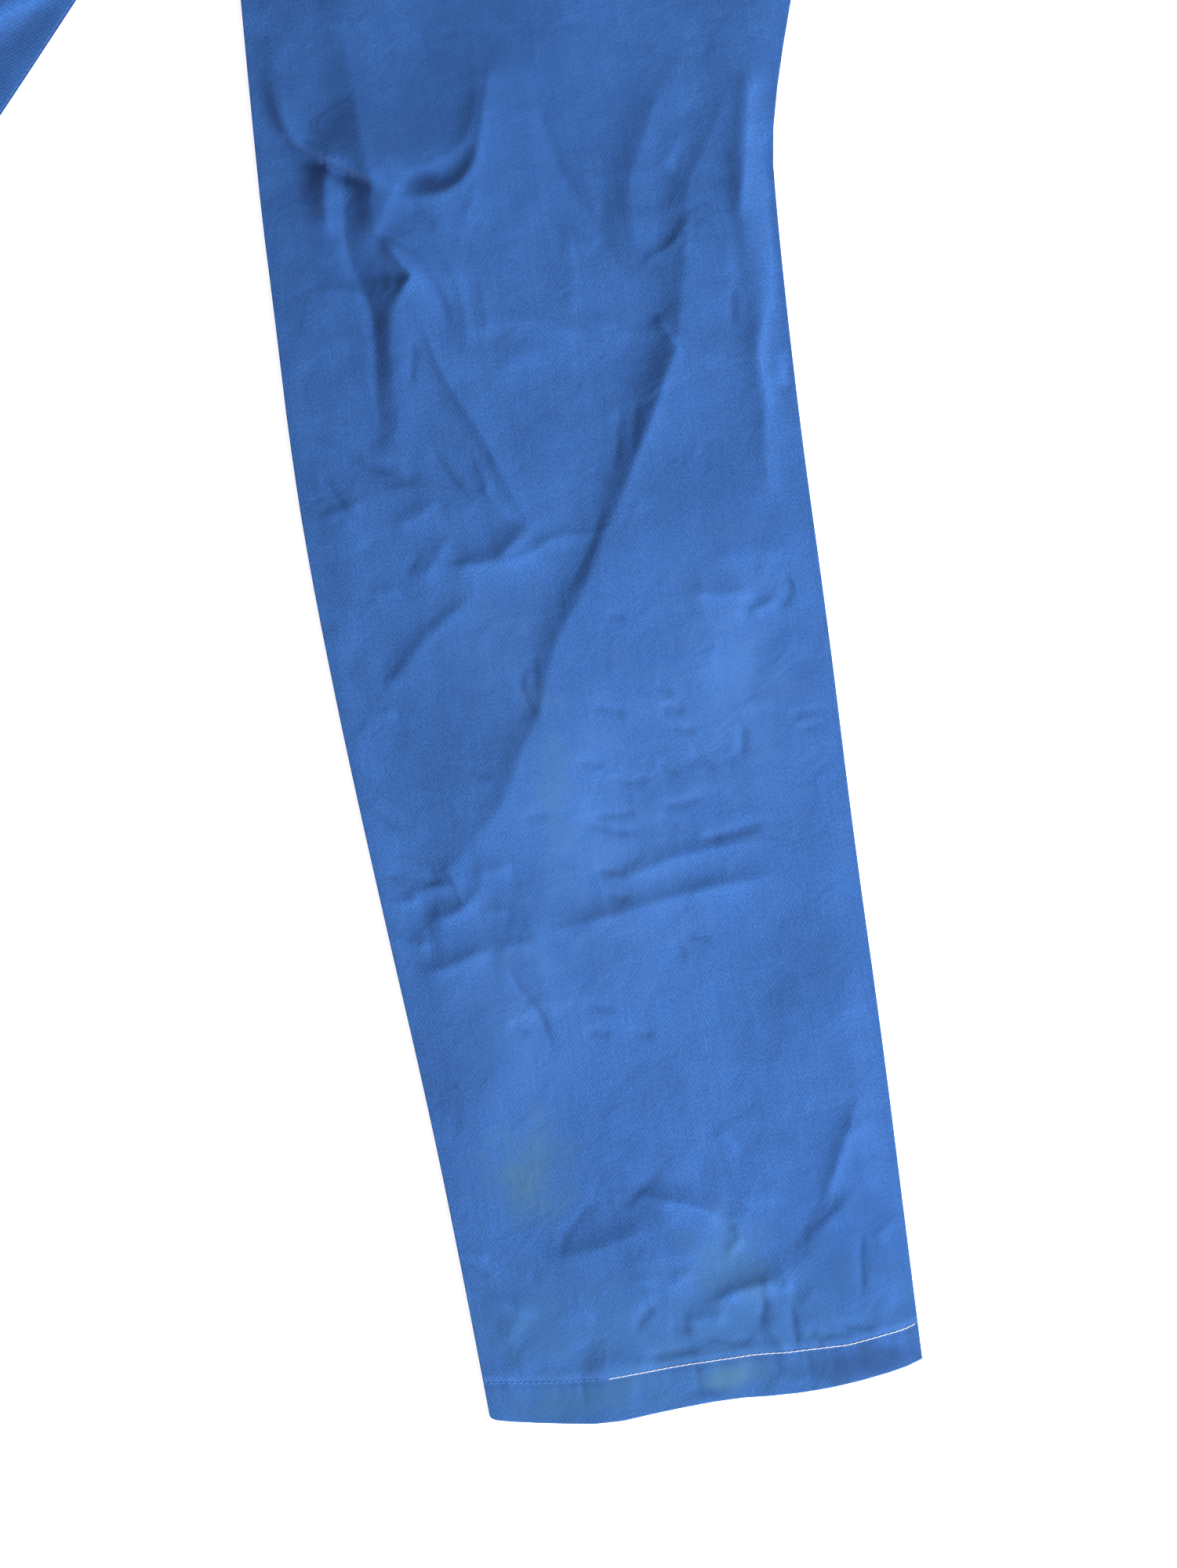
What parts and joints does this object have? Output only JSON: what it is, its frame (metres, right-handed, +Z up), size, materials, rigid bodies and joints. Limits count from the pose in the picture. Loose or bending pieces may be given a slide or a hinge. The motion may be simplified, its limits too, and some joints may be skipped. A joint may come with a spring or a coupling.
{
  "type": "coveralls",
  "caption": "Work coveralls in blue twill, laid flat with the front up: trousers, bodice, long sleeves, turned-down collar and a buttoned front.",
  "frame": {"origin": "middle of the back waistband, on its underside, where it rests on the surface", "axes": "+Z up from the surface, +Y towards the neck, +X towards the wearer's left"},
  "size_m": [1.3608, 1.5725, 0.023],
  "materials": {
    "twill": "woven cotton and polyester twill, washed, creased and worn",
    "button": "moulded button with a dull sheen"
  },
  "bodies": {
    "root": {"bodice_front_left": "twill", "bodice_front_right": "twill", "bodice_back": "twill", "waistband_front_left": "twill", "waistband_front_right": "twill", "waistband_back": "twill", "leg_front_left": "twill", "leg_front_right": "twill", "leg_back_left": "twill", "leg_back_right": "twill", "sleeve_left": "twill", "sleeve_right": "twill", "collar": "twill", "placket": "twill", "button_1": "button", "button_2": "button", "button_3": "button", "button_4": "button", "button_5": "button", "button_6": "button", "button_7": "button"}
  },
  "joints": []
}
